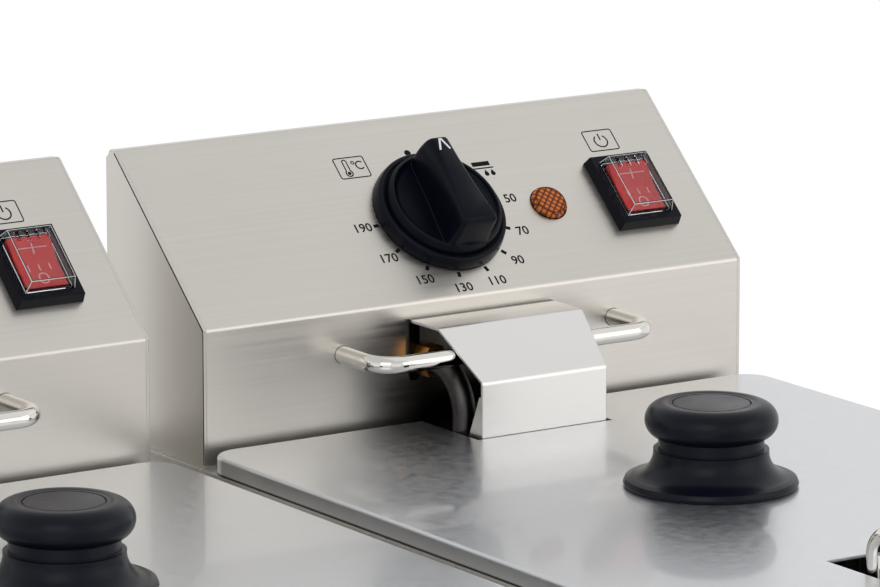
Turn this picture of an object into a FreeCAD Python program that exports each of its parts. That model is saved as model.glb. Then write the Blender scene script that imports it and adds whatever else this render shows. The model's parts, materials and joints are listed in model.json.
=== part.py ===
"""Twin-tank countertop deep fryer: one housing, two tanks, two control heads, two lids, two baskets.

Units are millimetres. +X is to the right, +Y to the back and +Z up. The origin lies on the table under
the middle of the whole fryer. Every unit is first modelled about its own middle plane, with y = 0 on the
front face of its control head and z = 0 on the top of its tank rim, and is then moved to its place.
"""
import FreeCAD, Part
import math
import os

V = FreeCAD.Vector

# Sheet metal and general fits
SHEET = 1.0
RIM_SHEET = 1.2
BEND_R = 2.0
FIT = 0.3
SEAT = 0.1
OVERCUT = 1.0

# Housing, base and feet
UNIT_PITCH = 241.0
HOUSING_W = 476.0
HOUSING_FRONT = 292.0
HOUSING_BACK = 66.0
HOUSING_H = 186.0
HOUSING_CORNER_R = 12.0
HOUSING_TOP_R = 3.0
VENT_W = 4.0
VENT_L = 60.0
VENT_COUNT = 7
VENT_PITCH = 12.0
FOOT_H = 10.0
FOOT_TOP_R = 15.0
FOOT_TIP_R = 13.0
FOOT_INSET = 34.0

# Tank
TANK_W = 192.0
TANK_FRONT = 272.0
TANK_BACK = 8.0
TANK_DEPTH = 150.0
TANK_CORNER_R = 22.0
RIM_W = 224.0
RIM_FRONT = 284.0
RIM_BACK = 64.0
RIM_CORNER_R = 8.0

# Control head
HEAD_W = 220.0
FACE_H = 46.5
SLOPE_RUN = 57.0
SLOPE_RISE = 51.7
TOP_STRIP = 5.2
REAR_LIP = 8.0
CORNER_CLIP = 3.0
LOUVRE_X = 44.0
LOUVRE_W = 40.0
LOUVRE_H = 3.0
LOUVRE_COUNT = 4
LOUVRE_PITCH = 9.0
SCREW_HEAD_R = 3.5
SCREW_HEAD_H = 1.8
SCREW_R = 1.9
SCREW_L = 6.0
SCREW_INSET = 9.0

# Thermostat dial
DIAL_V = 34.5
SKIRT_R = 24.7
SKIRT_TOP_R = 23.2
SKIRT_H = 5.0
COLLAR_R = 22.2
COLLAR_TOP_R = 20.4
COLLAR_H = 8.0
CROWN_R = 4.0
CROWN_H = 14.4
GRIP_NOSE_W = 12.0
GRIP_TAIL_W = 14.4
GRIP_REACH = 19.6
RIDGE_NOSE_W = 4.0
RIDGE_TAIL_W = 12.7
RIDGE_REACH = 18.0
GRIP_H = 20.0
DIAL_GAP = 0.6
SHAFT_R = 3.0
SHAFT_IN_KNOB = 10.0
THERMOSTAT_W = 42.0
THERMOSTAT_L = 34.0
THERMOSTAT_H = 24.0

# Pilot lamp
LAMP_X = 45.4
LAMP_V = 33.3
LAMP_R = 6.6
LAMP_BODY_R = 5.0
LAMP_RISE = 2.2
LAMP_BEVEL = 1.1
LAMP_L = 22.0

# Rocker switch
SWITCH_X = 80.4
SWITCH_V = 33.0
SWITCH_W = 25.3
SWITCH_L = 30.3
SWITCH_TOP_W = 24.1
SWITCH_TOP_L = 29.2
SWITCH_H = 4.2
SWITCH_WELL_W = 16.4
SWITCH_WELL_L = 21.0
SWITCH_THROAT = 4.0
SWITCH_BODY_L = 26.0
CAP_STEP = 2.75
CAP_LEAN = 1.1
CAP_H = 4.8
CAP_WALL = 0.8
CAP_SLOT_W = 1.4
CAP_SLOT_L = 4.0
CAP_SLOT_COUNT = 4
CAP_SLOT_PITCH = 3.6
ROCKER_GAP = 0.5
ROCKER_TILT = 7.0
ROCKER_H = 5.0
ROCKER_PIN_R = 1.2
ROCKER_PIN_SEAT = 1.2

# Hanger bar
BAR_R = 3.0
BAR_HALF = 55.5
BAR_Z = 31.9
BAR_REACH = 24.0
BAR_BEND_R = 9.0

# Element cover
COVER_W = 58.8
COVER_FRONT_W = 50.5
COVER_TOP_Z = 41.1
COVER_TOP_REACH = 18.8
COVER_FOLD_Z = 25.6
COVER_REACH = 39.4
COVER_FOOT_Z = 2.0
COVER_TAB = 9.0
COVER_TAB_DROP = 5.2
EAR_W = 4.3
EAR_H = 20.2
EAR_ROUND = 1.5

# Heating element, its nuts and the thermostat bulb
TUBE_R = 4.0
TUBE_BEND_R = 16.0
TUBE_LEG_X = 23.0
TUBE_EXIT_Z = 27.0
TUBE_LEG_Y = 25.0
TUBE_FLOOR_GAP = 20.0
TUBE_OUTER_X = 78.0
TUBE_INNER_X = 44.0
TUBE_FRONT = 240.0
TUBE_CROSS = 62.0
NUT_WALL = 1.0
NUT_L = 7.0
PROBE_R = 1.5
PROBE_BULB_R = 3.2
PROBE_BULB_L = 60.0
PROBE_EXIT_Z = 24.0
PROBE_Y = 16.0
PROBE_BEND_R = 6.0
PROBE_TOP_OF_BULB = 50.0

# Cable gland at the back of each head
GLAND_Z = 26.0
GLAND_X = 60.0
GLAND_R = 9.0
GLAND_L = 13.0
GLAND_FLATS = 22.0
GLAND_FLANGE_L = 5.0
GLAND_BORE_R = 4.0

# Lid and its knob
LID_W = 225.4
LID_BACK = 4.8
LID_FRONT = 283.0
LID_TOP_Z = 6.6
LID_CORNER_R = 10.5
LID_EDGE_R = 1.2
LID_NOTCH_GAP = 2.2
LID_FRONT_NOTCH_W = 59.0
LID_FRONT_NOTCH_Y = 234.0
KNOB_Y = 134.0
KNOB_BASE_R = 28.5
KNOB_RIM_H = 3.2
KNOB_STEP = 1.2
KNOB_FLARE_R = 20.5
KNOB_FLARE_H = 6.4
KNOB_WAIST_R = 18.0
KNOB_WAIST_H = 12.2
KNOB_SHELF_R = 18.0
KNOB_SHELF_H = 16.3
KNOB_TOP_R = 21.6
KNOB_BULGE_H = 20.7
KNOB_H = 27.2
KNOB_CAP_R = 12.9
KNOB_CAP_H = 3.0
KNOB_GROOVE = 0.8
KNOB_SCREW_R = 2.5
KNOB_SCREW_HEAD_R = 5.0
KNOB_SCREW_HEAD_H = 3.0
KNOB_SCREW_L = 14.0

# Basket
BASKET_W = 160.0
BASKET_BACK = 46.0
BASKET_FRONT = 247.5
BASKET_RIM_Z = -16.0
BASKET_WALL = 1.6
BASKET_CORNER_R = 16.0
BASKET_TAPER = 4.0
MESH_BAR = 6.0
MESH_COLUMNS = 5
MESH_DEEP_COLUMNS = 6
MESH_ROWS = 3
FRAME_R = 2.2
HANDLE_R = 3.0
HANDLE_HALF = 24.0
HANDLE_GRIP_HALF = 7.5
HANDLE_FOOT_Z = -74.0
HANDLE_KNEE_Z = 18.0
HANDLE_BEND_R = 7.0
HANDLE_LEAD = 6.0
HANDLE_RISE = 12.0
GRIP_START = 338.0
GRIP_END = 428.0
GRIP_WIDE = 30.0
GRIP_THICK = 17.0
GRIP_ROUND = 7.0
HANDLE_IN_GRIP = 30.0

# Derived places
PUNCH_L = 4 * SHEET
SLOPE_LEN = math.hypot(SLOPE_RUN, SLOPE_RISE)
SLOPE_DEG = math.degrees(math.atan2(SLOPE_RISE, SLOPE_RUN))
HEAD_DEPTH = SLOPE_RUN + TOP_STRIP
HEAD_H = FACE_H + SLOPE_RISE
INNER_W = HEAD_W - 2 * SHEET
DECK_Z = FOOT_H + SHEET + HOUSING_H + RIM_SHEET
GLAND_BACK = HEAD_DEPTH + GLAND_L
FACE_Y = (GRIP_END - GLAND_BACK) / 2
ELEMENT_Z = -TANK_DEPTH + TUBE_FLOOR_GAP
BASKET_FLOOR_Z = ELEMENT_Z + TUBE_R + FIT
HANDLE_Y = BASKET_FRONT - BASKET_WALL / 2 + FRAME_R + HANDLE_R + SEAT
LID_FOOT_Z = FIT
KNOB_TOP_Z = LID_TOP_Z + KNOB_H

UNITS = {"left": -UNIT_PITCH / 2, "right": UNIT_PITCH / 2}


def box(x0, x1, y0, y1, z0, z1):
    """Plain block between two corners."""
    return Part.makeBox(x1 - x0, y1 - y0, z1 - z0, V(x0, y0, z0))


def round_rect_prism(x0, x1, y0, y1, z0, z1, radius):
    """Block with rounded upright edges."""
    block = box(x0, x1, y0, y1, z0, z1)
    upright = [e for e in block.Edges if abs(e.tangentAt(e.FirstParameter).z) > 0.9]
    return block.makeFillet(radius, upright)


def prism_x(points_yz, x0, x1):
    """Polygon in the YZ plane pulled along X."""
    wire = Part.makePolygon([V(x0, y, z) for y, z in points_yz + points_yz[:1]])
    return Part.Face(wire).extrude(V(x1 - x0, 0, 0))


def rounded_path(points, radius):
    """Wire of straight runs joined by tangent arcs of one radius at every inner point."""
    edges = []
    start = points[0]
    for before, corner, after in zip(points, points[1:], points[2:]):
        inward = (before - corner).normalize()
        outward = (after - corner).normalize()
        half = inward.getAngle(outward) / 2
        setback = radius / math.tan(half)
        entry = corner + inward * setback
        leave = corner + outward * setback
        toward_centre = (inward + outward).normalize()
        middle = corner + toward_centre * (radius / math.sin(half) - radius)
        edges.append(Part.LineSegment(start, entry).toShape())
        edges.append(Part.Arc(entry, middle, leave).toShape())
        start = leave
    edges.append(Part.LineSegment(start, points[-1]).toShape())
    return Part.Wire(edges)


def rod(points, bend_radius, rod_radius):
    """Round rod along a path of straight runs and arcs."""
    spine = rounded_path(points, bend_radius)
    circle = Part.makeCircle(rod_radius, points[0], points[1] - points[0])
    return spine.makePipeShell([Part.Wire(circle)], True, False)


def offset_polyline(points, distance):
    """Open polyline in the YZ plane moved sideways, with mitred corners; left of travel is positive."""
    directions = [(b - a).normalize() for a, b in zip(points, points[1:])]
    normals = [V(0, -d.z, d.y) for d in directions]
    moved = [points[0] + normals[0] * distance]
    for corner, first, second in zip(points[1:-1], normals, normals[1:]):
        bisector = (first + second).normalize()
        moved.append(corner + bisector * (distance / bisector.dot(first)))
    moved.append(points[-1] + normals[-1] * distance)
    return moved


def bent_sheet(points_yz, x0, x1, outer_radius):
    """Folded sheet whose outer side follows the points; the sheet lies to the right of travel."""
    outer = [V(x0, y, z) for y, z in points_yz]
    inner = offset_polyline(outer, -SHEET)
    outer_wire = rounded_path(outer, outer_radius)
    inner_wire = rounded_path(inner, outer_radius - SHEET)
    closing = [Part.LineSegment(outer[i], inner[i]).toShape() for i in (0, -1)]
    edges = Part.sortEdges(outer_wire.Edges + inner_wire.Edges + closing)[0]
    return Part.Face(Part.Wire(edges)).extrude(V(x1 - x0, 0, 0))


def hexagon(flats, length, origin, direction):
    """Hexagonal prism along a direction."""
    sides = Part.makePolygon([V(math.cos(a), math.sin(a), 0) * (flats / math.sqrt(3))
                              for a in (math.pi / 3 * i for i in range(7))])
    prism = Part.Face(sides).extrude(V(0, 0, length))
    prism.Placement = FreeCAD.Placement(origin, FreeCAD.Rotation(V(0, 0, 1), direction))
    return prism


def on_slope(shape, x, v):
    """Place a shape modelled with +Z out of the panel and +Y up the slope."""
    share = v / SLOPE_LEN
    foot = V(x, SLOPE_RUN * share, FACE_H + SLOPE_RISE * share)
    moved = shape.copy()
    tilt = FreeCAD.Placement(foot, FreeCAD.Rotation(V(1, 0, 0), SLOPE_DEG))
    moved.Placement = tilt.multiply(shape.Placement)
    return moved


def housing():
    """Folded body with a plain top, two tank openings and an open underside."""
    top = -RIM_SHEET
    half = HOUSING_W / 2
    outer = round_rect_prism(-half, half, -HOUSING_FRONT, HOUSING_BACK, top - HOUSING_H, top,
                             HOUSING_CORNER_R)
    crown = [e for e in outer.Edges if min(v.Z for v in e.Vertexes) > top - SEAT]
    outer = outer.makeFillet(HOUSING_TOP_R, crown)
    inner = round_rect_prism(-half + SHEET, half - SHEET, -HOUSING_FRONT + SHEET, HOUSING_BACK - SHEET,
                             top - HOUSING_H, top - SHEET, HOUSING_CORNER_R - SHEET)
    crown = [e for e in inner.Edges if min(v.Z for v in e.Vertexes) > top - SHEET - SEAT]
    inner = inner.makeFillet(HOUSING_TOP_R - SHEET, crown)
    shell = outer.cut(inner)
    gap = SHEET + FIT
    for centre in UNITS.values():
        opening = round_rect_prism(centre - TANK_W / 2 - gap, centre + TANK_W / 2 + gap, -TANK_FRONT - gap,
                                   -TANK_BACK + gap, top - HOUSING_H / 2, top + OVERCUT, TANK_CORNER_R + gap)
        shell = shell.cut(opening)
    return shell


def base_pan():
    """Bottom plate under the body, with two fields of vent slots."""
    bottom = -RIM_SHEET - HOUSING_H - SHEET
    half = HOUSING_W / 2
    plate = round_rect_prism(-half, half, -HOUSING_FRONT, HOUSING_BACK, bottom, bottom + SHEET,
                             HOUSING_CORNER_R)
    middle_y = (HOUSING_BACK - HOUSING_FRONT) / 2
    slots = []
    for centre in UNITS.values():
        for i in range(VENT_COUNT):
            y = middle_y + (i - (VENT_COUNT - 1) / 2) * VENT_PITCH
            slots.append(box(centre - VENT_L / 2, centre + VENT_L / 2, y - VENT_W / 2, y + VENT_W / 2,
                             bottom - OVERCUT, bottom + SHEET + OVERCUT))
    return plate.cut(Part.makeCompound(slots))


def rubber_feet():
    """Four tapered feet under the base plate."""
    bottom = -RIM_SHEET - HOUSING_H - SHEET
    x = HOUSING_W / 2 - FOOT_INSET
    feet = []
    for fx in (-x, x):
        for fy in (-HOUSING_FRONT + FOOT_INSET, HOUSING_BACK - FOOT_INSET):
            feet.append(Part.makeCone(FOOT_TIP_R, FOOT_TOP_R, FOOT_H, V(fx, fy, bottom - FOOT_H)))
    return Part.makeCompound(feet)


def tank():
    """Drawn tank with a flat rim; the wide back of the rim carries the control head."""
    rim = round_rect_prism(-RIM_W / 2, RIM_W / 2, -RIM_FRONT, RIM_BACK, -RIM_SHEET, 0, RIM_CORNER_R)
    outer = round_rect_prism(-TANK_W / 2 - SHEET, TANK_W / 2 + SHEET, -TANK_FRONT - SHEET, -TANK_BACK + SHEET,
                             -TANK_DEPTH - SHEET, 0, TANK_CORNER_R + SHEET)
    inner = round_rect_prism(-TANK_W / 2, TANK_W / 2, -TANK_FRONT, -TANK_BACK, -TANK_DEPTH, OVERCUT,
                             TANK_CORNER_R)
    return rim.fuse(outer).cut(inner).removeSplitter()


def head_outline():
    """Side outline of the control head, from the front foot to the back of the top."""
    return [(0, 0), (0, FACE_H), (SLOPE_RUN, HEAD_H), (HEAD_DEPTH, HEAD_H)]


def tube_exits():
    """Places where the element legs leave the front face."""
    return [V(side * TUBE_LEG_X, 0, TUBE_EXIT_Z) for side in (-1, 1)]


def head_wrap():
    """Front face, sloped panel and top strip folded from one sheet, with its openings."""
    outline = head_outline() + [(HEAD_DEPTH, HEAD_H - REAR_LIP)]
    wrap = bent_sheet(outline, -INNER_W / 2, INNER_W / 2, BEND_R)
    cuts = [on_slope(Part.makeCylinder(SHAFT_R + FIT, PUNCH_L, V(0, 0, -PUNCH_L / 2)), 0, DIAL_V)]
    lamp_hole = Part.makeCylinder(LAMP_BODY_R + SEAT, PUNCH_L, V(0, 0, -PUNCH_L / 2))
    cuts.append(on_slope(lamp_hole, LAMP_X, LAMP_V))
    well_x = SWITCH_WELL_W / 2 + SHEET + SEAT
    well_y = SWITCH_WELL_L / 2 + SHEET + SEAT
    switch_hole = box(-well_x, well_x, -well_y, well_y, -PUNCH_L / 2, PUNCH_L / 2)
    cuts.append(on_slope(switch_hole, SWITCH_X, SWITCH_V))
    for exit_point in tube_exits():
        cuts.append(Part.makeCylinder(TUBE_R + SEAT, PUNCH_L, exit_point - V(0, PUNCH_L / 2, 0), V(0, 1, 0)))
    cuts.append(Part.makeCylinder(PROBE_R + SEAT, PUNCH_L, V(0, -PUNCH_L / 2, PROBE_EXIT_Z), V(0, 1, 0)))
    for side in (-1, 1):
        root = V(side * BAR_HALF, -PUNCH_L / 2, BAR_Z)
        cuts.append(Part.makeCylinder(BAR_R + SEAT, PUNCH_L, root, V(0, 1, 0)))
    return wrap.cut(Part.makeCompound(cuts))


def head_sides():
    """Two flat side plates that close the wrap, with clipped upper corners."""
    outline = [(0, 0), (0, FACE_H), (SLOPE_RUN, HEAD_H), (HEAD_DEPTH - CORNER_CLIP, HEAD_H),
               (HEAD_DEPTH, HEAD_H - CORNER_CLIP), (HEAD_DEPTH, 0)]
    plates = [prism_x(outline, -HEAD_W / 2, -INNER_W / 2), prism_x(outline, INNER_W / 2, HEAD_W / 2)]
    return Part.makeCompound(plates)


def screw_places():
    """Corners of the rear cover where its screws sit."""
    x = INNER_W / 2 - SCREW_INSET
    top = HEAD_H - REAR_LIP - SCREW_INSET
    return [V(sx * x, HEAD_DEPTH, z) for sx in (-1, 1) for z in (SCREW_INSET, top)]


def head_rear_cover():
    """Back plate of the head, with louvre slots, screw holes and the gland hole."""
    top = HEAD_H - REAR_LIP
    plate = box(-INNER_W / 2, INNER_W / 2, HEAD_DEPTH - SHEET, HEAD_DEPTH, 0, top)
    cuts = []
    for side in (-1, 1):
        for i in range(LOUVRE_COUNT):
            z = top / 2 + (i + 0.5) * LOUVRE_PITCH
            x = side * LOUVRE_X
            cuts.append(box(x - LOUVRE_W / 2, x + LOUVRE_W / 2, HEAD_DEPTH - 2 * SHEET, HEAD_DEPTH + SHEET,
                            z - LOUVRE_H, z))
    for place in screw_places():
        cuts.append(Part.makeCylinder(SCREW_R + SEAT, PUNCH_L, place - V(0, PUNCH_L / 2, 0), V(0, 1, 0)))
    gland = V(GLAND_X, HEAD_DEPTH - PUNCH_L / 2, GLAND_Z)
    cuts.append(Part.makeCylinder(GLAND_R + SEAT, PUNCH_L, gland, V(0, 1, 0)))
    return plate.cut(Part.makeCompound(cuts))


def head_floor():
    """Bottom plate of the head, resting on the back of the tank rim."""
    return box(-INNER_W / 2, INNER_W / 2, SHEET, HEAD_DEPTH - SHEET, 0, SHEET)


def head_screws():
    """Pan-head screws of the rear cover."""
    screws = []
    for place in screw_places():
        shank = Part.makeCylinder(SCREW_R, SCREW_L, place - V(0, SCREW_L, 0), V(0, 1, 0))
        head = Part.makeCylinder(SCREW_HEAD_R, SCREW_HEAD_H, place, V(0, 1, 0))
        rim = [e for e in head.Edges if e.BoundBox.YMin > place.y + SCREW_HEAD_H / 2]
        screws.append(shank.fuse(head.makeFillet(SCREW_HEAD_H / 2, rim)))
    return Part.makeCompound(screws)


def hanger_bar():
    """Bent rod on the front face that carries the drained basket."""
    points = [V(-BAR_HALF, SHEET, BAR_Z), V(-BAR_HALF, -BAR_REACH, BAR_Z),
              V(BAR_HALF, -BAR_REACH, BAR_Z), V(BAR_HALF, SHEET, BAR_Z)]
    return rod(points, BAR_BEND_R, BAR_R)


def element_cover():
    """Folded open-sided cover over the element legs: tapered slope, front plate with tabs, and two ears."""
    outline = [(0, COVER_TOP_Z), (-COVER_TOP_REACH, COVER_TOP_Z), (-COVER_REACH, COVER_FOLD_Z),
               (-COVER_REACH, COVER_FOOT_Z)]
    sheet = bent_sheet(outline[::-1], -COVER_W / 2, COVER_W / 2, BEND_R)
    top, front = COVER_W / 2, COVER_FRONT_W / 2
    mask = Part.makePolygon([V(x, OVERCUT, z) for x, z in (
        (-front, COVER_FOOT_Z), (front, COVER_FOOT_Z), (front, COVER_FOLD_Z), (top, COVER_TOP_Z),
        (top, COVER_TOP_Z + OVERCUT), (-top, COVER_TOP_Z + OVERCUT), (-top, COVER_TOP_Z),
        (-front, COVER_FOLD_Z), (-front, COVER_FOOT_Z))])
    cover = sheet.common(Part.Face(mask).extrude(V(0, -COVER_REACH - 2 * OVERCUT, 0)))
    back = -COVER_REACH + SHEET
    tab_top = COVER_FOLD_Z - COVER_TAB_DROP
    ear_top = COVER_TOP_Z - SHEET
    for side, leg in zip((-1, 1), tube_exits()):
        inner, outer = sorted((side * (front - SHEET), side * front))
        tab = prism_x([(back, COVER_FOOT_Z), (back + COVER_TAB, COVER_FOOT_Z), (back + SHEET, tab_top),
                       (back, tab_top)], inner, outer)
        inner, outer = sorted((side * (top - EAR_W), side * top))
        ear = box(inner, outer, -SHEET, 0, ear_top - EAR_H, ear_top)
        low_edges = [e for e in ear.Edges if e.BoundBox.ZMax < ear_top - EAR_H + SEAT]
        tips = [e for e in low_edges if e.BoundBox.YLength > SHEET / 2]
        ear = ear.makeFillet(EAR_ROUND, tips)
        hole = Part.makeCylinder(TUBE_R + SEAT, PUNCH_L, leg + V(0, PUNCH_L / 2, 0), V(0, -1, 0))
        cover = cover.fuse([tab, ear.cut(hole)])
    return cover.removeSplitter()


def heating_element():
    """One long tube: down inside the cover, spread over the tank floor and back up."""
    half = [V(TUBE_LEG_X, SHEET, TUBE_EXIT_Z), V(TUBE_LEG_X, -TUBE_LEG_Y, TUBE_EXIT_Z),
            V(TUBE_LEG_X, -TUBE_LEG_Y, ELEMENT_Z), V(TUBE_OUTER_X, -TUBE_LEG_Y, ELEMENT_Z),
            V(TUBE_OUTER_X, -TUBE_FRONT, ELEMENT_Z), V(TUBE_INNER_X, -TUBE_FRONT, ELEMENT_Z),
            V(TUBE_INNER_X, -TUBE_CROSS, ELEMENT_Z)]
    other = [V(-p.x, p.y, p.z) for p in reversed(half)]
    return rod(half + other, TUBE_BEND_R, TUBE_R)


def element_nuts():
    """Hexagon gland nuts on the element legs, which clamp the cover's ears to the face."""
    nuts = []
    for exit_point in tube_exits():
        nut = hexagon(2 * (TUBE_R + SEAT + NUT_WALL), NUT_L, exit_point - V(0, SHEET, 0), V(0, -1, 0))
        bore = Part.makeCylinder(TUBE_R + SEAT, 3 * NUT_L, exit_point + V(0, NUT_L, 0), V(0, -1, 0))
        nuts.append(nut.cut(bore))
    return Part.makeCompound(nuts)


def thermostat_probe():
    """Capillary and bulb of the thermostat, hanging behind the basket."""
    low_z = -PROBE_TOP_OF_BULB
    points = [V(0, SHEET, PROBE_EXIT_Z), V(0, -PROBE_Y, PROBE_EXIT_Z), V(0, -PROBE_Y, low_z)]
    bulb = Part.makeCylinder(PROBE_BULB_R, PROBE_BULB_L, V(0, -PROBE_Y, low_z), V(0, 0, -1))
    tip = [e for e in bulb.Edges if e.BoundBox.ZMax < low_z - PROBE_BULB_L / 2]
    return rod(points, PROBE_BEND_R, PROBE_R).fuse(bulb.makeFillet(PROBE_BULB_R / 2, tip))


def thermostat_body():
    """Thermostat behind the sloped panel, bored for the dial shaft."""
    body = box(-THERMOSTAT_W / 2, THERMOSTAT_W / 2, -THERMOSTAT_L / 2, THERMOSTAT_L / 2,
               -SHEET - THERMOSTAT_H, -SHEET)
    bore = Part.makeCylinder(SHAFT_R + FIT, THERMOSTAT_H, V(0, 0, -SHEET - THERMOSTAT_H / 2))
    return on_slope(body.cut(bore), 0, DIAL_V)


def lamp_lens():
    """Amber pilot lamp: domed lens on a short barrel through the panel."""
    profile = [(0, LAMP_RISE), (LAMP_R - LAMP_BEVEL, LAMP_RISE), (LAMP_R, LAMP_RISE - LAMP_BEVEL),
               (LAMP_R, 0), (LAMP_BODY_R, 0), (LAMP_BODY_R, -LAMP_L), (0, -LAMP_L), (0, LAMP_RISE)]
    section = Part.Face(Part.makePolygon([V(r, 0, z) for r, z in profile]))
    lens = section.revolve(V(0, 0, 0), V(0, 0, 1), 360)
    return on_slope(lens, LAMP_X, LAMP_V)


def frustum(wide, long, wide_top, long_top, z0, z1):
    """Block whose four sides lean inwards."""
    loops = []
    for w, l, z in ((wide, long, z0), (wide_top, long_top, z1)):
        loops.append(Part.makePolygon([V(sx * w / 2, sy * l / 2, z) for sx, sy in
                                       ((-1, -1), (1, -1), (1, 1), (-1, 1), (-1, -1))]))
    return Part.makeLoft(loops, True, True)


def switch_frame():
    """Black switch bezel with leaning sides and the well for the rocker."""
    bezel = frustum(SWITCH_W, SWITCH_L, SWITCH_TOP_W, SWITCH_TOP_L, 0, SWITCH_H)
    throat = box(-SWITCH_WELL_W / 2 - SHEET, SWITCH_WELL_W / 2 + SHEET, -SWITCH_WELL_L / 2 - SHEET,
                 SWITCH_WELL_L / 2 + SHEET, -SWITCH_THROAT, SWITCH_H / 2)
    well = box(-SWITCH_WELL_W / 2, SWITCH_WELL_W / 2, -SWITCH_WELL_L / 2, SWITCH_WELL_L / 2,
               -SWITCH_THROAT - OVERCUT, SWITCH_H + OVERCUT)
    pin = SWITCH_WELL_W / 2 + ROCKER_PIN_SEAT + FIT
    pin_holes = Part.makeCylinder(ROCKER_PIN_R + FIT, 2 * pin, V(-pin, 0, SWITCH_H / 2), V(1, 0, 0))
    return on_slope(bezel.fuse(throat).cut([well, pin_holes]).removeSplitter(), SWITCH_X, SWITCH_V)


def switch_body():
    """Contact block of the switch behind the panel."""
    top = -SWITCH_THROAT
    wide = SWITCH_WELL_W / 2 + SHEET
    deep = SWITCH_WELL_L / 2 + SHEET
    return on_slope(box(-wide, wide, -deep, deep, top - SWITCH_BODY_L, top), SWITCH_X, SWITCH_V)


def switch_cap():
    """Clear splash cap over the rocker, with drain slots at its upper end."""
    wide, long = SWITCH_TOP_W - 2 * CAP_STEP, SWITCH_TOP_L - 2 * CAP_STEP
    lean, wall = 2 * CAP_LEAN, 2 * CAP_WALL
    top = SWITCH_H + CAP_H
    cap = frustum(wide, long, wide - lean, long - lean, SWITCH_H, top)
    hollow = frustum(wide - wall, long - wall, wide - lean - wall, long - lean - wall,
                     SWITCH_H - SEAT, top - CAP_WALL)
    cap = cap.cut(hollow)
    slots = []
    for i in range(CAP_SLOT_COUNT):
        x = (i - (CAP_SLOT_COUNT - 1) / 2) * CAP_SLOT_PITCH
        y = long / 2 - CAP_LEAN - CAP_WALL - CAP_SLOT_L
        slots.append(box(x - CAP_SLOT_W / 2, x + CAP_SLOT_W / 2, y, y + CAP_SLOT_L, SWITCH_H + CAP_WALL,
                         top + OVERCUT))
    return on_slope(cap.cut(Part.makeCompound(slots)), SWITCH_X, SWITCH_V)


def rocker():
    """Red rocker in its pressed-down position at the lower end, on its cross pin."""
    half_w = SWITCH_WELL_W / 2 - ROCKER_GAP
    half_l = SWITCH_WELL_L / 2 - 2 * ROCKER_GAP
    lift = half_l * math.tan(math.radians(ROCKER_TILT))
    outline = [(-half_l, -ROCKER_H / 2), (half_l, -ROCKER_H / 2), (half_l, ROCKER_H / 2 + lift / 2),
               (0, ROCKER_H / 2 - lift / 2), (-half_l, ROCKER_H / 2 + lift / 2)]
    body = prism_x(outline, -half_w, half_w)
    pin_half = SWITCH_WELL_W / 2 + ROCKER_PIN_SEAT
    pin = Part.makeCylinder(ROCKER_PIN_R, 2 * pin_half, V(-pin_half, 0, 0), V(1, 0, 0))
    body = body.fuse(pin)
    body.rotate(V(0, 0, 0), V(1, 0, 0), ROCKER_TILT)
    body.translate(V(0, 0, SWITCH_H / 2))
    return on_slope(body, SWITCH_X, SWITCH_V)


def cable_gland():
    """Hexagon cable gland in the rear cover, empty."""
    seat = V(GLAND_X, HEAD_DEPTH, GLAND_Z)
    flange = hexagon(GLAND_FLATS, GLAND_FLANGE_L, seat, V(0, 1, 0))
    barrel = Part.makeCylinder(GLAND_R, GLAND_L + 2 * SHEET, seat - V(0, 2 * SHEET, 0), V(0, 1, 0))
    bore = Part.makeCylinder(GLAND_BORE_R, 3 * GLAND_L, seat - V(0, GLAND_L, 0), V(0, 1, 0))
    return flange.fuse(barrel).cut(bore)


def dial_knob():
    """Stepped skirt, low crown and a wedge grip that narrows to its nose, set to off."""
    skirt = Part.makeCone(SKIRT_R, SKIRT_TOP_R, SKIRT_H, V(0, 0, DIAL_GAP))
    collar = Part.makeCone(COLLAR_R, COLLAR_TOP_R, COLLAR_H - SKIRT_H, V(0, 0, DIAL_GAP + SKIRT_H))
    crown = Part.makeCone(COLLAR_TOP_R, CROWN_R, CROWN_H - COLLAR_H, V(0, 0, DIAL_GAP + COLLAR_H))
    loops = []
    for tail_w, nose_w, reach, z in ((GRIP_TAIL_W, GRIP_NOSE_W, GRIP_REACH, DIAL_GAP + SKIRT_H),
                                     (RIDGE_TAIL_W, RIDGE_NOSE_W, RIDGE_REACH, DIAL_GAP + GRIP_H)):
        ends = [V(-tail_w / 2, -reach, z), V(tail_w / 2, -reach, z), V(nose_w / 2, reach, z),
                V(-nose_w / 2, reach, z)]
        loops.append(Part.makePolygon(ends + ends[:1]))
    grip = Part.makeLoft(loops, True, True)
    socket = Part.makeCylinder(SHAFT_R, SHAFT_IN_KNOB, V(0, 0, DIAL_GAP))
    knob = skirt.fuse([collar, crown, grip]).cut(socket).removeSplitter()
    return on_slope(knob, 0, DIAL_V)


def dial_shaft():
    """Thermostat shaft that the knob is pressed on."""
    low = -SHEET - THERMOSTAT_H / 2 + FIT
    return on_slope(Part.makeCylinder(SHAFT_R, DIAL_GAP + SHAFT_IN_KNOB - low, V(0, 0, low)), 0, DIAL_V)


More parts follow.
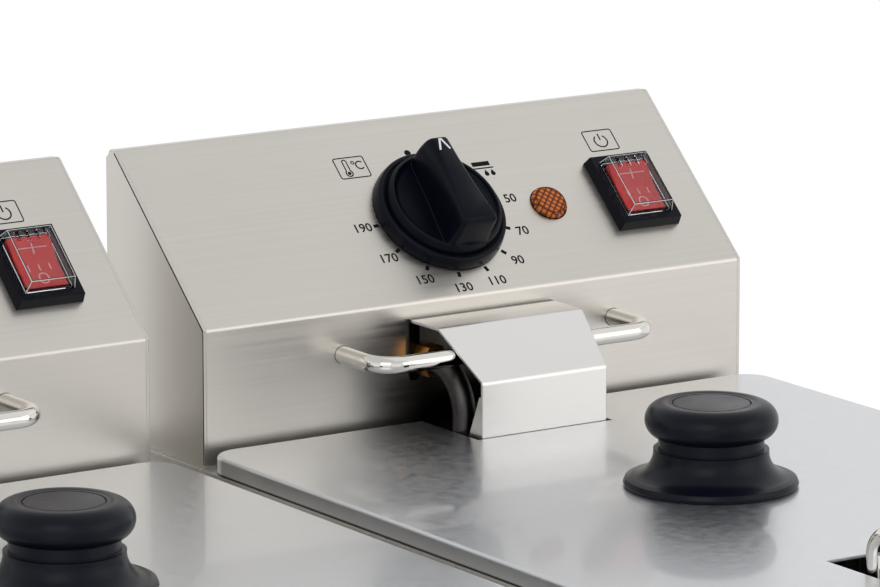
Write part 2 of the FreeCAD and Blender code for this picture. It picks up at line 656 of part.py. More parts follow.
def lid_sheet():
    """Pressed lid with a turned-down edge, notched at the back for the cover and in front for the handle."""
    half = LID_W / 2
    outer = round_rect_prism(-half, half, -LID_FRONT, -LID_BACK, LID_FOOT_Z, LID_TOP_Z, LID_CORNER_R)
    crown = [e for e in outer.Edges if min(v.Z for v in e.Vertexes) > LID_TOP_Z - SEAT]
    outer = outer.makeFillet(LID_EDGE_R, crown)
    inner = round_rect_prism(-half + SHEET, half - SHEET, -LID_FRONT + SHEET, -LID_BACK - SHEET,
                             LID_FOOT_Z - OVERCUT, LID_TOP_Z - SHEET, LID_CORNER_R - SHEET)
    lid = outer.cut(inner)
    notch = COVER_FRONT_W / 2 + LID_NOTCH_GAP
    back_notch = box(-notch, notch, -COVER_REACH - 2 * FIT, 0, LID_FOOT_Z - OVERCUT, LID_TOP_Z + OVERCUT)
    front = LID_FRONT_NOTCH_W / 2
    front_notch = box(-front, front, -LID_FRONT - OVERCUT, -LID_FRONT_NOTCH_Y, LID_FOOT_Z - OVERCUT,
                      LID_TOP_Z + OVERCUT)
    hole = Part.makeCylinder(KNOB_SCREW_R + SEAT, LID_TOP_Z + 2 * OVERCUT, V(0, -KNOB_Y, -OVERCUT))
    return lid.cut(Part.makeCompound([back_notch, front_notch, hole]))


def lid_knob():
    """Turned knob: stepped foot, hollow flare to a grooved waist, and a thick rounded head."""
    base = LID_TOP_Z
    rim_top = base + KNOB_RIM_H
    waist_z = base + KNOB_WAIST_H
    shelf_z = base + KNOB_SHELF_H
    edges = []

    def line(a, b):
        edges.append(Part.LineSegment(a, b).toShape())

    def arc(a, m, b):
        edges.append(Part.Arc(a, m, b).toShape())

    def p(r, z):
        return V(r, 0, z)

    step_r = KNOB_BASE_R - KNOB_STEP
    flare_mid = p(KNOB_FLARE_R, base + KNOB_FLARE_H)
    line(p(0, base), p(KNOB_BASE_R - KNOB_STEP / 2, base))
    line(p(KNOB_BASE_R - KNOB_STEP / 2, base), p(KNOB_BASE_R, base + KNOB_STEP))
    line(p(KNOB_BASE_R, base + KNOB_STEP), p(KNOB_BASE_R - KNOB_STEP / 2, rim_top - KNOB_STEP / 2))
    line(p(KNOB_BASE_R - KNOB_STEP / 2, rim_top - KNOB_STEP / 2), p(step_r - KNOB_STEP, rim_top))
    arc(p(step_r - KNOB_STEP, rim_top), flare_mid, p(KNOB_WAIST_R + KNOB_GROOVE, waist_z))
    line(p(KNOB_WAIST_R + KNOB_GROOVE, waist_z), p(KNOB_WAIST_R - KNOB_GROOVE, waist_z))
    line(p(KNOB_WAIST_R - KNOB_GROOVE, waist_z), p(KNOB_WAIST_R - KNOB_GROOVE, shelf_z))
    line(p(KNOB_WAIST_R - KNOB_GROOVE, shelf_z), p(KNOB_SHELF_R, shelf_z))
    arc(p(KNOB_SHELF_R, shelf_z), p(KNOB_TOP_R, base + KNOB_BULGE_H),
        p(KNOB_CAP_R + KNOB_STEP, KNOB_TOP_Z))
    line(p(KNOB_CAP_R + KNOB_STEP, KNOB_TOP_Z), p(KNOB_CAP_R, KNOB_TOP_Z))
    line(p(KNOB_CAP_R, KNOB_TOP_Z), p(KNOB_CAP_R, KNOB_TOP_Z - KNOB_CAP_H))
    line(p(KNOB_CAP_R, KNOB_TOP_Z - KNOB_CAP_H), p(0, KNOB_TOP_Z - KNOB_CAP_H))
    line(p(0, KNOB_TOP_Z - KNOB_CAP_H), p(0, base))
    knob = Part.Face(Part.Wire(edges)).revolve(V(0, 0, 0), V(0, 0, 1), 360)
    bore = Part.makeCylinder(KNOB_SCREW_R, KNOB_SCREW_L - SHEET, V(0, 0, base))
    knob = knob.cut(bore)
    knob.translate(V(0, -KNOB_Y, 0))
    return knob


def lid_knob_cap():
    """Flat cap let into the top of the knob."""
    cap = Part.makeCylinder(KNOB_CAP_R - SEAT, KNOB_CAP_H, V(0, -KNOB_Y, KNOB_TOP_Z - KNOB_CAP_H))
    rim = [e for e in cap.Edges if e.BoundBox.ZMin > KNOB_TOP_Z - SEAT]
    return cap.makeChamfer(KNOB_STEP / 3, rim)


def lid_screw():
    """Screw that holds the knob from under the lid."""
    under = LID_TOP_Z - SHEET
    head = Part.makeCylinder(KNOB_SCREW_HEAD_R, KNOB_SCREW_HEAD_H, V(0, -KNOB_Y, under - KNOB_SCREW_HEAD_H))
    shank = Part.makeCylinder(KNOB_SCREW_R, KNOB_SCREW_L, V(0, -KNOB_Y, under))
    return head.fuse(shank)


def basket_mesh():
    """Perforated basket of five holed walls, leaning in a little towards its floor."""
    half = BASKET_W / 2
    top, bottom = BASKET_RIM_Z, BASKET_FLOOR_Z
    loops = []
    for grow in (0, -BASKET_WALL):
        for inset, z in ((0, top), (BASKET_TAPER, bottom)):
            level = z - grow if inset else z + (OVERCUT if grow else 0)
            x, back, front = half - inset + grow, BASKET_BACK + inset - grow, BASKET_FRONT - inset + grow
            loops.append(Part.makePolygon([V(sx * x, -y, level) for sx, y in
                                           ((-1, front), (1, front), (1, back), (-1, back), (-1, front))]))
    shell = Part.makeLoft(loops[:2], True, True).cut(Part.makeLoft(loops[2:], True, True))
    depth = BASKET_FRONT - BASKET_BACK
    height = top - bottom
    cell_x = (BASKET_W - 2 * BASKET_TAPER - 2 * MESH_BAR) / MESH_COLUMNS
    cell_y = (depth - 2 * BASKET_TAPER - 2 * MESH_BAR) / MESH_DEEP_COLUMNS
    cell_z = (height - 2 * MESH_BAR) / MESH_ROWS
    middle_y = -(BASKET_FRONT + BASKET_BACK) / 2
    holes = []
    for i in range(MESH_COLUMNS):
        x = (i - (MESH_COLUMNS - 1) / 2) * cell_x
        span_x = (cell_x - MESH_BAR) / 2
        for j in range(MESH_DEEP_COLUMNS):
            y = middle_y + (j - (MESH_DEEP_COLUMNS - 1) / 2) * cell_y
            span_y = (cell_y - MESH_BAR) / 2
            holes.append(box(x - span_x, x + span_x, y - span_y, y + span_y,
                             bottom - OVERCUT, bottom + 2 * BASKET_WALL))
        for k in range(MESH_ROWS):
            z = (top + bottom) / 2 + (k - (MESH_ROWS - 1) / 2) * cell_z
            span_z = (cell_z - MESH_BAR) / 2
            holes.append(box(x - span_x, x + span_x, -BASKET_FRONT - OVERCUT, -BASKET_BACK + OVERCUT,
                             z - span_z, z + span_z))
    for j in range(MESH_DEEP_COLUMNS):
        y = middle_y + (j - (MESH_DEEP_COLUMNS - 1) / 2) * cell_y
        span_y = (cell_y - MESH_BAR) / 2
        for k in range(MESH_ROWS):
            z = (top + bottom) / 2 + (k - (MESH_ROWS - 1) / 2) * cell_z
            span_z = (cell_z - MESH_BAR) / 2
            holes.append(box(-half - OVERCUT, half + OVERCUT, y - span_y, y + span_y, z - span_z, z + span_z))
    return shell.cut(Part.makeCompound(holes))


def basket_frame():
    """Round wire hoop on the basket's upper edge."""
    half = BASKET_W / 2 - BASKET_WALL / 2
    back = -BASKET_BACK - BASKET_WALL / 2
    front = -BASKET_FRONT + BASKET_WALL / 2
    z = BASKET_RIM_Z + FRAME_R
    start = V(0, back, z)
    points = [start, V(half, back, z), V(half, front, z), V(-half, front, z), V(-half, back, z)]
    hoop = rounded_path(points + [start], BASKET_CORNER_R / 2)
    circle = Part.makeCircle(FRAME_R, start, V(1, 0, 0))
    return hoop.makePipeShell([Part.Wire(circle)], True, False)


def handle_points():
    """Right half of the handle wire, from inside the grip down to the foot on the basket."""
    rise = HANDLE_KNEE_Z + HANDLE_RISE
    return [V(HANDLE_GRIP_HALF, -GRIP_START - HANDLE_IN_GRIP, rise),
            V(HANDLE_GRIP_HALF, -GRIP_START + HANDLE_LEAD, rise),
            V(HANDLE_HALF, -HANDLE_Y, HANDLE_KNEE_Z), V(HANDLE_HALF, -HANDLE_Y, HANDLE_FOOT_Z)]


def basket_handle():
    """Bent wire handle: up the basket front, through the lid notch and forward into the grip."""
    half = handle_points()
    other = [V(-p.x, p.y, p.z) for p in reversed(half)]
    return rod(half + other, HANDLE_BEND_R, HANDLE_R)


def basket_grip():
    """Rounded grip moulded over the ends of the handle wire."""
    z = HANDLE_KNEE_Z + HANDLE_RISE
    grip = box(-GRIP_WIDE / 2, GRIP_WIDE / 2, -GRIP_END, -GRIP_START, z - GRIP_THICK / 2, z + GRIP_THICK / 2)
    long_edges = [e for e in grip.Edges if abs(e.tangentAt(e.FirstParameter).y) > 0.9]
    grip = grip.makeFillet(GRIP_ROUND, long_edges)
    for side in (-1, 1):
        mouth = V(side * HANDLE_GRIP_HALF, -GRIP_START, z)
        grip = grip.cut(Part.makeCylinder(HANDLE_R + SEAT, HANDLE_IN_GRIP, mouth, V(0, -1, 0)))
    return grip


def export(name, shape, x):
    """Move a finished piece to its place in the fryer and write it."""
    placed = shape.copy()
    placed.translate(V(x, FACE_Y, DECK_Z))
    placed.exportStep("parts/" + name + ".step")


COMMON_PIECES = {"housing": housing, "base_pan": base_pan, "rubber_feet": rubber_feet}

UNIT_PIECES = {
    "tank": tank, "head_wrap": head_wrap, "head_sides": head_sides, "head_rear_cover": head_rear_cover,
    "head_floor": head_floor, "head_screws": head_screws, "hanger_bar": hanger_bar,
    "element_cover": element_cover, "heating_element": heating_element, "element_nuts": element_nuts,
    "thermostat_body": thermostat_body, "thermostat_probe": thermostat_probe, "lamp_lens": lamp_lens,
    "switch_frame": switch_frame, "switch_body": switch_body, "switch_cap": switch_cap,
    "cable_gland": cable_gland, "rocker": rocker, "dial_knob": dial_knob, "dial_shaft": dial_shaft,
    "lid_sheet": lid_sheet, "lid_knob": lid_knob, "lid_knob_cap": lid_knob_cap, "lid_screw": lid_screw,
    "basket_mesh": basket_mesh, "basket_frame": basket_frame, "basket_handle": basket_handle,
    "basket_grip": basket_grip,
}

os.makedirs("parts", exist_ok=True)
for piece, make in COMMON_PIECES.items():
    export(piece, make(), 0)
for piece, make in UNIT_PIECES.items():
    solid = make()
    for side, centre in UNITS.items():
        export(side + "_" + piece, solid, centre)
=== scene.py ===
import json
import math

import bmesh
import bpy
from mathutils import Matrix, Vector


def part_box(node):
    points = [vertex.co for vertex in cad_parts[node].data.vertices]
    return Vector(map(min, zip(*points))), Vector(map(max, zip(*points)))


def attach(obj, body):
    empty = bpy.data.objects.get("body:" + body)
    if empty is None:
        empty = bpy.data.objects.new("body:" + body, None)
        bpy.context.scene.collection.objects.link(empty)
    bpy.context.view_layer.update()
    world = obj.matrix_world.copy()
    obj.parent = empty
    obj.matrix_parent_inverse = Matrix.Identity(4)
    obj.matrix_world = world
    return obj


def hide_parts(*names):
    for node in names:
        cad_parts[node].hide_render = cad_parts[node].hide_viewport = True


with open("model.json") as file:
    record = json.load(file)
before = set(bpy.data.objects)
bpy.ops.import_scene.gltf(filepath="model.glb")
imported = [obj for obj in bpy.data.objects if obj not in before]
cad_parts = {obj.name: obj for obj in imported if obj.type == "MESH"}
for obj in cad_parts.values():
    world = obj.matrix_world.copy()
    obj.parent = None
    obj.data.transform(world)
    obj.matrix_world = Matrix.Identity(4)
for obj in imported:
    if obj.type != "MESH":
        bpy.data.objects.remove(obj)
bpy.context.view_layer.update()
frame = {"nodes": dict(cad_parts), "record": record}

# Units are metres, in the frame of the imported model. Sizes on the control panel are in millimetres.
MM = 0.001
SIDES = ("left", "right")

# Camera, fitted to the photograph
CAMERA_PLACE = Vector((-0.9973, -1.4811, 0.6609))
CAMERA_YAW = math.radians(33.61)
CAMERA_PITCH = math.radians(11.76)
CAMERA_LENS = 245.45

# Control panel layout: x across from the middle of the head, v up the slope from its lower bend
FACE_HIGH = 46.5
SLOPE_RUN = 57.0
SLOPE_RISE = 51.7
DIAL_V = 34.5
DIAL_TOP = 20.6

# Arrow on the dial, from the dial's middle
ARROW_TIP = 17.2
ARROW_FOOT = 12.4
ARROW_HALF = 2.0
ARROW_TIP_HALF = 0.2
ARROW_WIDE = 0.75

# Switch, its rocker (tilt in degrees, crest from the middle of the switch) and the clear cap
SWITCH_X = 80.4
SWITCH_V = 33.0
ROCKER_TILT = 7.0
ROCKER_CREST_V = -0.23
ROCKER_CREST_H = 4.0
CAP_FOOT = 4.2
CAP_TOP = 8.9
CAP_FOOT_W = 18.5
CAP_FOOT_L = 23.6
CAP_TOP_W = 16.3
CAP_TOP_L = 21.4
# Radius of the painted highlight lines on the cap's edges
CAP_HIGHLIGHT_R = 0.14

# Marks on the rocker, from its crest
DASH_LOW = 3.2
DASH_HIGH = 7.0
DASH_WIDE = 0.6
CROSS_V = 5.4
CROSS_HALF = 5.5
CROSS_WIDE = 0.4
RING_V = -6.2
RING_R = 1.7
RING_WIDE = 0.55
RIB_PLACES = (-4.0, 0.0, 4.0)
RIB_TOP = -0.8
RIB_FOOT = -3.4
RIB_WIDE = 0.5

# Scale round the dial, with angles in degrees clockwise from the top
TICK_INNER = 24.9
TICK_OUTER = 27.0
TICK_WIDE = 1.3
LABEL_R = 31.6
LABEL_SIZE = 5.0
TEXT_WEIGHT = 0.012
FIRST_LABEL = 50
LABEL_STEP = 20
LABEL_COUNT = 8
FIRST_ANGLE = 84.6
STEP_ANGLE = 26.04
DOT_X = 0.8
DOT_R = 27.3
DOT_SIZE = 1.25
PRINT_LIFT = 0.05

# Signs on the panel: middle of the melting sign, and the left, right, lower and upper edges of the boxed ones
MELT_SIGN = (27.0, 51.4)
THERMOMETER_SIGN = (-29.8, -17.4, 53.9, 63.1)
POWER_SIGN = (73.6, 86.2, 52.7, 62.0)
SIGN_CORNER = 1.0
SIGN_LINE = 0.4
SIGN_STROKE = 0.5
CORNER_STEPS = 4
SMALL_ROUND = 12

# Dial: corners of its turned outline as radius, height and rounding, from the floor of the dish to the foot
DIAL_OUTLINE = (
    (13.5, 6.8, 0.0), (18.5, 6.9, 1.2), (19.3, 8.4, 0.4), (20.4, 8.4, 0.7), (21.2, 4.2, 0.0),
    (21.6, 4.2, 0.0), (21.8, 5.0, 0.3), (23.4, 5.0, 0.8), (24.1, 1.4, 0.0), (24.1, 0.6, 0.0))
DIAL_TURNS = 96

# Grip of the dial: half widths and reach, how far it spreads to its foot, and the rounding of its top
GRIP_FOOT = 6.4
GRIP_TAIL = 7.0
GRIP_FLARE = 2.0
GRIP_NOSE = 5.6
GRIP_NOSE_TOP = 2.2
GRIP_REACH = 18.4
GRIP_LEAN = 1.1
GRIP_WAIST = 0.7
GRIP_WAIST_ROUND = 9.0
GRIP_CORNER = 1.2
GRIP_FOOT_CORNER = 2.6
GRIP_SOFT = 0.9
GRIP_LEVELS = 14

# Exponents of the grip's curves over its height, and the angle above which an edge of the dial stays sharp
SOFT_CURVE = 20
FLARE_CURVE = 2.5
NOSE_CURVE = 4
NOSE_ROUND = 0.6
DIAL_SHARP = math.radians(50)

# Pilot lamp
LAMP_X = 45.4
LAMP_V = 33.3
LAMP_TOP = 2.2
LAMP_GRID = 165.0
LAMP_RING_R = 5.5
LAMP_RING_WIDE = 0.4
# Radius of the painted shadow ring round the lamp's foot
LAMP_SHADOW_R = 6.75

# Painted shadow lines in the joints of the head's sheets: radius, place behind the front, and how far they
# stop short of each end
SEAM_R = 0.2
SEAM_IN = 0.5
SEAM_SHORT = 0.6

# Painted shade and painted dark reflection on the front of each head round its cover: half width, height,
# reach off the sheet, and its soft edge
SHADE_WIDE = 50.0
SHADE_HIGH = 32.0
SHEET_NEAR = 4.0
SHADE_EDGE = (1.0, 0.5)

# Painted shade on the faces of a cover that look this way: direction, and how squarely they have to face it
SHADE_SIDE = (0.0, 0.7, -0.7)
SHADE_FACING = (0.2, 0.4)

# Painted shadow line along a lid's lower edge, and painted shade on the inside of a cover by the wall: where
# the shade starts and where it is full
LID_SHADE = (1.0, 0.5)
COVER_SHADE = (3.0, 2.0)

# Woven wire of the baskets
WIRE_R = 0.6
WIRE_PITCH = 8.0
BASKET_LEAN = 4.0

# Noise scales along X, Y and Z: fine lines along X, an even grain for tubes and drawn sheet, and the rest
FINE_GRAIN = (4.0, 1100.0, 1100.0)
ROUND_GRAIN = (240.0, 240.0, 240.0)
CLOUD_GRAIN = (9.0, 12.0, 12.0)
SMEAR_GRAIN = (40.0, 40.0, 40.0)
MOULD_GRAIN = (2200.0, 2200.0, 2200.0)
MOULD_CLOUDS = (60.0, 60.0, 60.0)
HAZE_GRAIN = (120.0, 120.0, 120.0)
INK_GRAIN = (900.0, 900.0, 900.0)
SHADE_GRAIN = (150.0, 150.0, 150.0)

# Depth of fine relief in metres, how far the gloss of brushed sheet swings, and the two colours of the
# painted shade
FINE_RELIEF = 0.00002
GLOSS_SWING = 0.04
SHADE_DARK = (0.012, 0.010, 0.009, 1)
SHADE_LIGHT = (0.03, 0.026, 0.022, 1)

# Floor: half size, and the distances where it starts to fade and is gone
FLOOR_HALF = 2.0
FLOOR_FADE_START = 0.42
FLOOR_FADE_END = 0.85

# Surround, as light and as seen: grey below and above, and the heights between which it changes
WORLD_LIGHT = (0.42, 0.66, 0.35, 0.75)
WORLD_SEEN = (1.0, 0.72, 0.62, 0.88)

# Softboxes, aimed at one point: name, place, size, power and colour
LIGHT_AIM = (0.05, 0.1, 0.25)
SOFTBOXES = (
    ("overhead", (0.9, 0.0, 1.6), 1.8, 2.2, (1, 1, 1)),
    ("key", (-1.3, -1.2, 1.3), 1.2, 5.0, (1, 1, 1)),
    ("fill", (1.15, -1.35, 0.75), 1.4, 4.5, (1.0, 0.95, 0.88)))


def node_tree(name):
    """New material with one plain shader; gives the material, its tree and the shader."""
    material = bpy.data.materials.new(name)
    material.use_nodes = True
    tree = material.node_tree
    tree.nodes.clear()
    output = tree.nodes.new("ShaderNodeOutputMaterial")
    shader = tree.nodes.new("ShaderNodeBsdfPrincipled")
    tree.links.new(shader.outputs["BSDF"], output.inputs["Surface"])
    return material, tree, shader


def surface_shader(material):
    """The principled shader of a material."""
    return [n for n in material.node_tree.nodes if n.type == "BSDF_PRINCIPLED"][0]


def stretched_noise(tree, scale, detail=3.0):
    """Noise in object space, stretched by a scale along each axis."""
    coords = tree.nodes.new("ShaderNodeTexCoord")
    mapping = tree.nodes.new("ShaderNodeMapping")
    mapping.inputs["Scale"].default_value = scale
    noise = tree.nodes.new("ShaderNodeTexNoise")
    noise.inputs["Scale"].default_value = 1.0
    noise.inputs["Detail"].default_value = detail
    tree.links.new(coords.outputs["Object"], mapping.inputs["Vector"])
    tree.links.new(mapping.outputs["Vector"], noise.inputs["Vector"])
    return noise.outputs["Fac"]


def ramp(tree, source, low, high, start=0.3, end=0.7):
    """Colour ramp between two grey values or colours."""
    node = tree.nodes.new("ShaderNodeValToRGB")
    node.color_ramp.elements[0].position = start
    node.color_ramp.elements[1].position = end
    for element, value in zip(node.color_ramp.elements, (low, high)):
        element.color = value if isinstance(value, tuple) else (value, value, value, 1)
    tree.links.new(source, node.inputs["Fac"])
    return node.outputs["Color"]


def bump(tree, shader, source, strength, depth, edge):
    """Bump from a height source over softly rounded edges."""
    bevel = tree.nodes.new("ShaderNodeBevel")
    bevel.samples = 4
    bevel.inputs["Radius"].default_value = edge
    node = tree.nodes.new("ShaderNodeBump")
    node.inputs["Strength"].default_value = strength
    node.inputs["Distance"].default_value = depth
    tree.links.new(bevel.outputs["Normal"], node.inputs["Normal"])
    tree.links.new(source, node.inputs["Height"])
    tree.links.new(node.outputs["Normal"], shader.inputs["Normal"])


def brushed_steel(name, colour, rough, grain=FINE_GRAIN, spread=0.06, relief=0.12, edge=0.0004):
    """Stainless sheet with fine lines along X, faint clouds and uneven gloss."""
    material, tree, shader = node_tree(name)
    shader.inputs["Metallic"].default_value = 1.0
    lines = stretched_noise(tree, grain, 5.0)
    clouds = stretched_noise(tree, CLOUD_GRAIN, 2.0)
    mix = tree.nodes.new("ShaderNodeMix")
    mix.data_type = "RGBA"
    mix.inputs["Factor"].default_value = 0.5
    dark = tuple(c * (1 - spread) for c in colour) + (1,)
    light = tuple(min(1, c * (1 + spread)) for c in colour) + (1,)
    tree.links.new(ramp(tree, lines, dark, light), mix.inputs["A"])
    tree.links.new(ramp(tree, clouds, dark, light), mix.inputs["B"])
    tree.links.new(mix.outputs["Result"], shader.inputs["Base Color"])
    tree.links.new(ramp(tree, lines, rough - GLOSS_SWING, rough + GLOSS_SWING), shader.inputs["Roughness"])
    bump(tree, shader, lines, relief, FINE_RELIEF, edge)
    return material


def place_part(tree, axis):
    """One coordinate of a point at rest."""
    coords = tree.nodes.new("ShaderNodeTexCoord")
    split = tree.nodes.new("ShaderNodeSeparateXYZ")
    tree.links.new(coords.outputs["Object"], split.inputs["Vector"])
    return split.outputs[axis]


def fade(tree, source, none, full):
    """Factor that runs from 0 to 1 between two values of its source."""
    node = tree.nodes.new("ShaderNodeMapRange")
    node.inputs["From Min"].default_value = none
    node.inputs["From Max"].default_value = full
    tree.links.new(source, node.inputs["Value"])
    return node.outputs["Result"]


def paint_shade(material, factor):
    """Mix painted shade, a blotchy dark brown, over a finish."""
    tree = material.node_tree
    shader = surface_shader(material)
    blotches = stretched_noise(tree, SHADE_GRAIN, 4.0)
    mix = tree.nodes.new("ShaderNodeMix")
    mix.data_type = "RGBA"
    tree.links.new(factor, mix.inputs["Factor"])
    tree.links.new(shader.inputs["Base Color"].links[0].from_socket, mix.inputs["A"])
    tree.links.new(ramp(tree, blotches, SHADE_DARK, SHADE_LIGHT), mix.inputs["B"])
    tree.links.new(mix.outputs["Result"], shader.inputs["Base Color"])
    return material


def satin_lid_with_edge_shade(material, foot):
    """Clear sheen over soft steel, and a painted shadow line along the turned-down edge."""
    tree = material.node_tree
    shader = surface_shader(material)
    shader.inputs["Coat Weight"].default_value = 0.5
    shader.inputs["Coat Roughness"].default_value = 0.06
    none, full = (foot + height * MM for height in LID_SHADE)
    return paint_shade(material, fade(tree, place_part(tree, "Z"), none, full))


def painted_shade_inside(material, wall):
    """Painted shade on the faces of a cover that look back or down into it, and on its ears on the wall."""
    tree = material.node_tree
    geometry = tree.nodes.new("ShaderNodeNewGeometry")
    facing = tree.nodes.new("ShaderNodeVectorMath")
    facing.operation = "DOT_PRODUCT"
    facing.inputs[1].default_value = SHADE_SIDE
    tree.links.new(geometry.outputs["True Normal"], facing.inputs[0])
    either = tree.nodes.new("ShaderNodeMath")
    either.operation = "MAXIMUM"
    tree.links.new(fade(tree, facing.outputs["Value"], *SHADE_FACING), either.inputs[0])
    none, full = (wall - distance * MM for distance in COVER_SHADE)
    tree.links.new(fade(tree, place_part(tree, "Y"), none, full), either.inputs[1])
    return paint_shade(material, either.outputs["Value"])


def painted_shade_round_cover(material, middle, wall, foot):
    """Painted shade and painted dark reflection on the front of a head around its element, in an oval about
    the middle of the wall's foot.
    """
    tree = material.node_tree
    coords = tree.nodes.new("ShaderNodeTexCoord")
    vector = coords.outputs["Object"]
    steps = (("ABSOLUTE", None), ("SUBTRACT", (middle, wall, foot)),
             ("DIVIDE", (SHADE_WIDE * MM, SHEET_NEAR * MM, SHADE_HIGH * MM)))
    for operation, value in steps:
        node = tree.nodes.new("ShaderNodeVectorMath")
        node.operation = operation
        tree.links.new(vector, node.inputs[0])
        if value:
            node.inputs[1].default_value = value
        vector = node.outputs["Vector"]
    length = tree.nodes.new("ShaderNodeVectorMath")
    length.operation = "LENGTH"
    tree.links.new(vector, length.inputs[0])
    return paint_shade(material, fade(tree, length.outputs["Value"], *SHADE_EDGE))


def polished(name, colour, rough):
    """Bright plated metal with faint smears."""
    material, tree, shader = node_tree(name)
    shader.inputs["Metallic"].default_value = 1.0
    smear = stretched_noise(tree, SMEAR_GRAIN, 3.0)
    dark = tuple(c * 0.94 for c in colour) + (1,)
    tree.links.new(ramp(tree, smear, dark, colour + (1,)), shader.inputs["Base Color"])
    tree.links.new(ramp(tree, smear, rough * 0.7, rough * 1.5), shader.inputs["Roughness"])
    return material


def moulded(name, colour, rough, gloss=0.12, spread=0.3, edge=0.0005):
    """Moulded plastic with a fine grain and slightly uneven gloss."""
    material, tree, shader = node_tree(name)
    fine = stretched_noise(tree, MOULD_GRAIN, 2.0)
    broad = stretched_noise(tree, MOULD_CLOUDS, 3.0)
    dark = tuple(c * (1 - spread) for c in colour) + (1,)
    tree.links.new(ramp(tree, broad, dark, colour + (1,)), shader.inputs["Base Color"])
    tree.links.new(ramp(tree, broad, rough - 0.04, rough + 0.06), shader.inputs["Roughness"])
    shader.inputs["Specular IOR Level"].default_value = gloss
    bump(tree, shader, fine, 0.3, FINE_RELIEF, edge)
    return material


def clear_plastic(name):
    """Thin clear plastic with a trace of haze."""
    material, tree, shader = node_tree(name)
    haze = stretched_noise(tree, HAZE_GRAIN, 2.0)
    shader.inputs["Transmission Weight"].default_value = 1.0
    shader.inputs["IOR"].default_value = 1.33
    tree.links.new(ramp(tree, haze, (0.95, 0.95, 0.97, 1), (1, 1, 1, 1)), shader.inputs["Base Color"])
    tree.links.new(ramp(tree, haze, 0.02, 0.06), shader.inputs["Roughness"])
    return material


def waffle_lens(name, colour, groove_shade):
    """Amber lens with a pressed grid of small pyramids, set slantwise on the slope, and painted shade in the
    grooves between them.
    """
    material, tree, shader = node_tree(name)
    coords = tree.nodes.new("ShaderNodeTexCoord")
    turned = tree.nodes.new("ShaderNodeMapping")
    turned.inputs["Rotation"].default_value = (-math.atan2(SLOPE_RISE, SLOPE_RUN), 0.0, math.pi / 4)
    tree.links.new(coords.outputs["Object"], turned.inputs["Vector"])
    waves = []
    for axis in ("X", "Y"):
        wave = tree.nodes.new("ShaderNodeTexWave")
        wave.bands_direction = axis
        wave.inputs["Scale"].default_value = LAMP_GRID
        tree.links.new(turned.outputs["Vector"], wave.inputs["Vector"])
        waves.append(wave.outputs["Fac"])
    grid = tree.nodes.new("ShaderNodeMath")
    grid.operation = "MULTIPLY"
    tree.links.new(waves[0], grid.inputs[0])
    tree.links.new(waves[1], grid.inputs[1])
    # Painted shade: the grooves of the grid get the darker colour.
    tree.links.new(ramp(tree, grid.outputs["Value"], groove_shade + (1,), colour + (1,), 0.03, 0.4),
                   shader.inputs["Base Color"])
    shader.inputs["Roughness"].default_value = 0.2
    shader.inputs["Specular IOR Level"].default_value = 0.25
    bump(tree, shader, grid.outputs["Value"], 0.4, 0.0003, 0.0005)
    return material


def ink(name, colour):
    """Screen-printed ink with a slightly broken tone."""
    material, tree, shader = node_tree(name)
    tone = stretched_noise(tree, INK_GRAIN, 2.0)
    lifted = tuple(min(1.0, c * 1.25 + 0.004) for c in colour) + (1,)
    tree.links.new(ramp(tree, tone, colour + (1,), lifted), shader.inputs["Base Color"])
    shader.inputs["Roughness"].default_value = 0.6
    shader.inputs["Specular IOR Level"].default_value = 0.08
    return material


